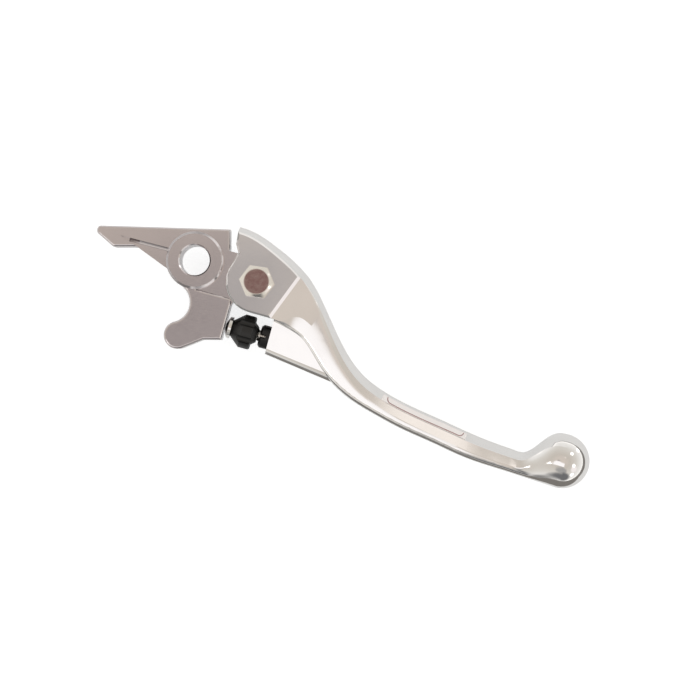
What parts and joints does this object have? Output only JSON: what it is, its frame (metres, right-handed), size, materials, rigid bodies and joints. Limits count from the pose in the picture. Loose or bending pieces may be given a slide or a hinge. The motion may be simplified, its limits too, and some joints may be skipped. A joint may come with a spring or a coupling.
{
  "type": "motorcycle brake lever",
  "caption": "Motorcycle front brake lever: pivoting base with tail and piston lobe, hinged finger blade with a ball end, and a hand screw that sets its reach.",
  "frame": {"origin": "middle of the main pivot bore, on the lever's mid-plane", "axes": "+Z along the main pivot bore, upwards; +X out along the lever towards the ball end; +Y forwards, away from the handlebar"},
  "size_m": [0.1964, 0.1049, 0.0305],
  "materials": {
    "blade_alloy": "polished",
    "base_alloy": "satin",
    "bolt_steel": "plated",
    "sleeve_steel": "ground",
    "screw_steel": "bright",
    "nylon": "satin",
    "knob_plastic": "satin",
    "black_steel": "black oxide"
  },
  "bodies": {
    "base": {"lever_base": "base_alloy"},
    "blade": {"lever_blade": "blade_alloy", "pivot_bolt": "bolt_steel", "pivot_nut": "bolt_steel", "nut_insert": "nylon", "pivot_sleeve": "sleeve_steel", "spring_washer": "sleeve_steel", "lock_nut": "black_steel"},
    "screw": {"adjuster_screw": "screw_steel"},
    "knob": {"adjuster_knob": "knob_plastic"}
  },
  "joints": [
    {"name": "blade_pivot", "type": "hinge", "parent": "base", "child": "blade", "pos_m": [0.0248, -0.0087, 0], "axis": [0, 0, 1], "range_deg": [-2, 9]},
    {"name": "screw_travel", "type": "slide", "parent": "blade", "child": "screw", "axis": [-0.9636, 0.2672, 0], "range_m": [-0.00071, 0.0032]},
    {"name": "knob_turn", "type": "hinge", "parent": "screw", "child": "knob", "pos_m": [0.0194, -0.02816, 0], "axis": [-0.9636, 0.2672, 0], "range_deg": [-317, 1427]}
  ],
  "couplings": [
    {"joint": "screw_travel", "follows": "blade_pivot", "m_per_rad": 0.0202},
    {"joint": "knob_turn", "follows": "blade_pivot", "ratio": 158.65}
  ]
}
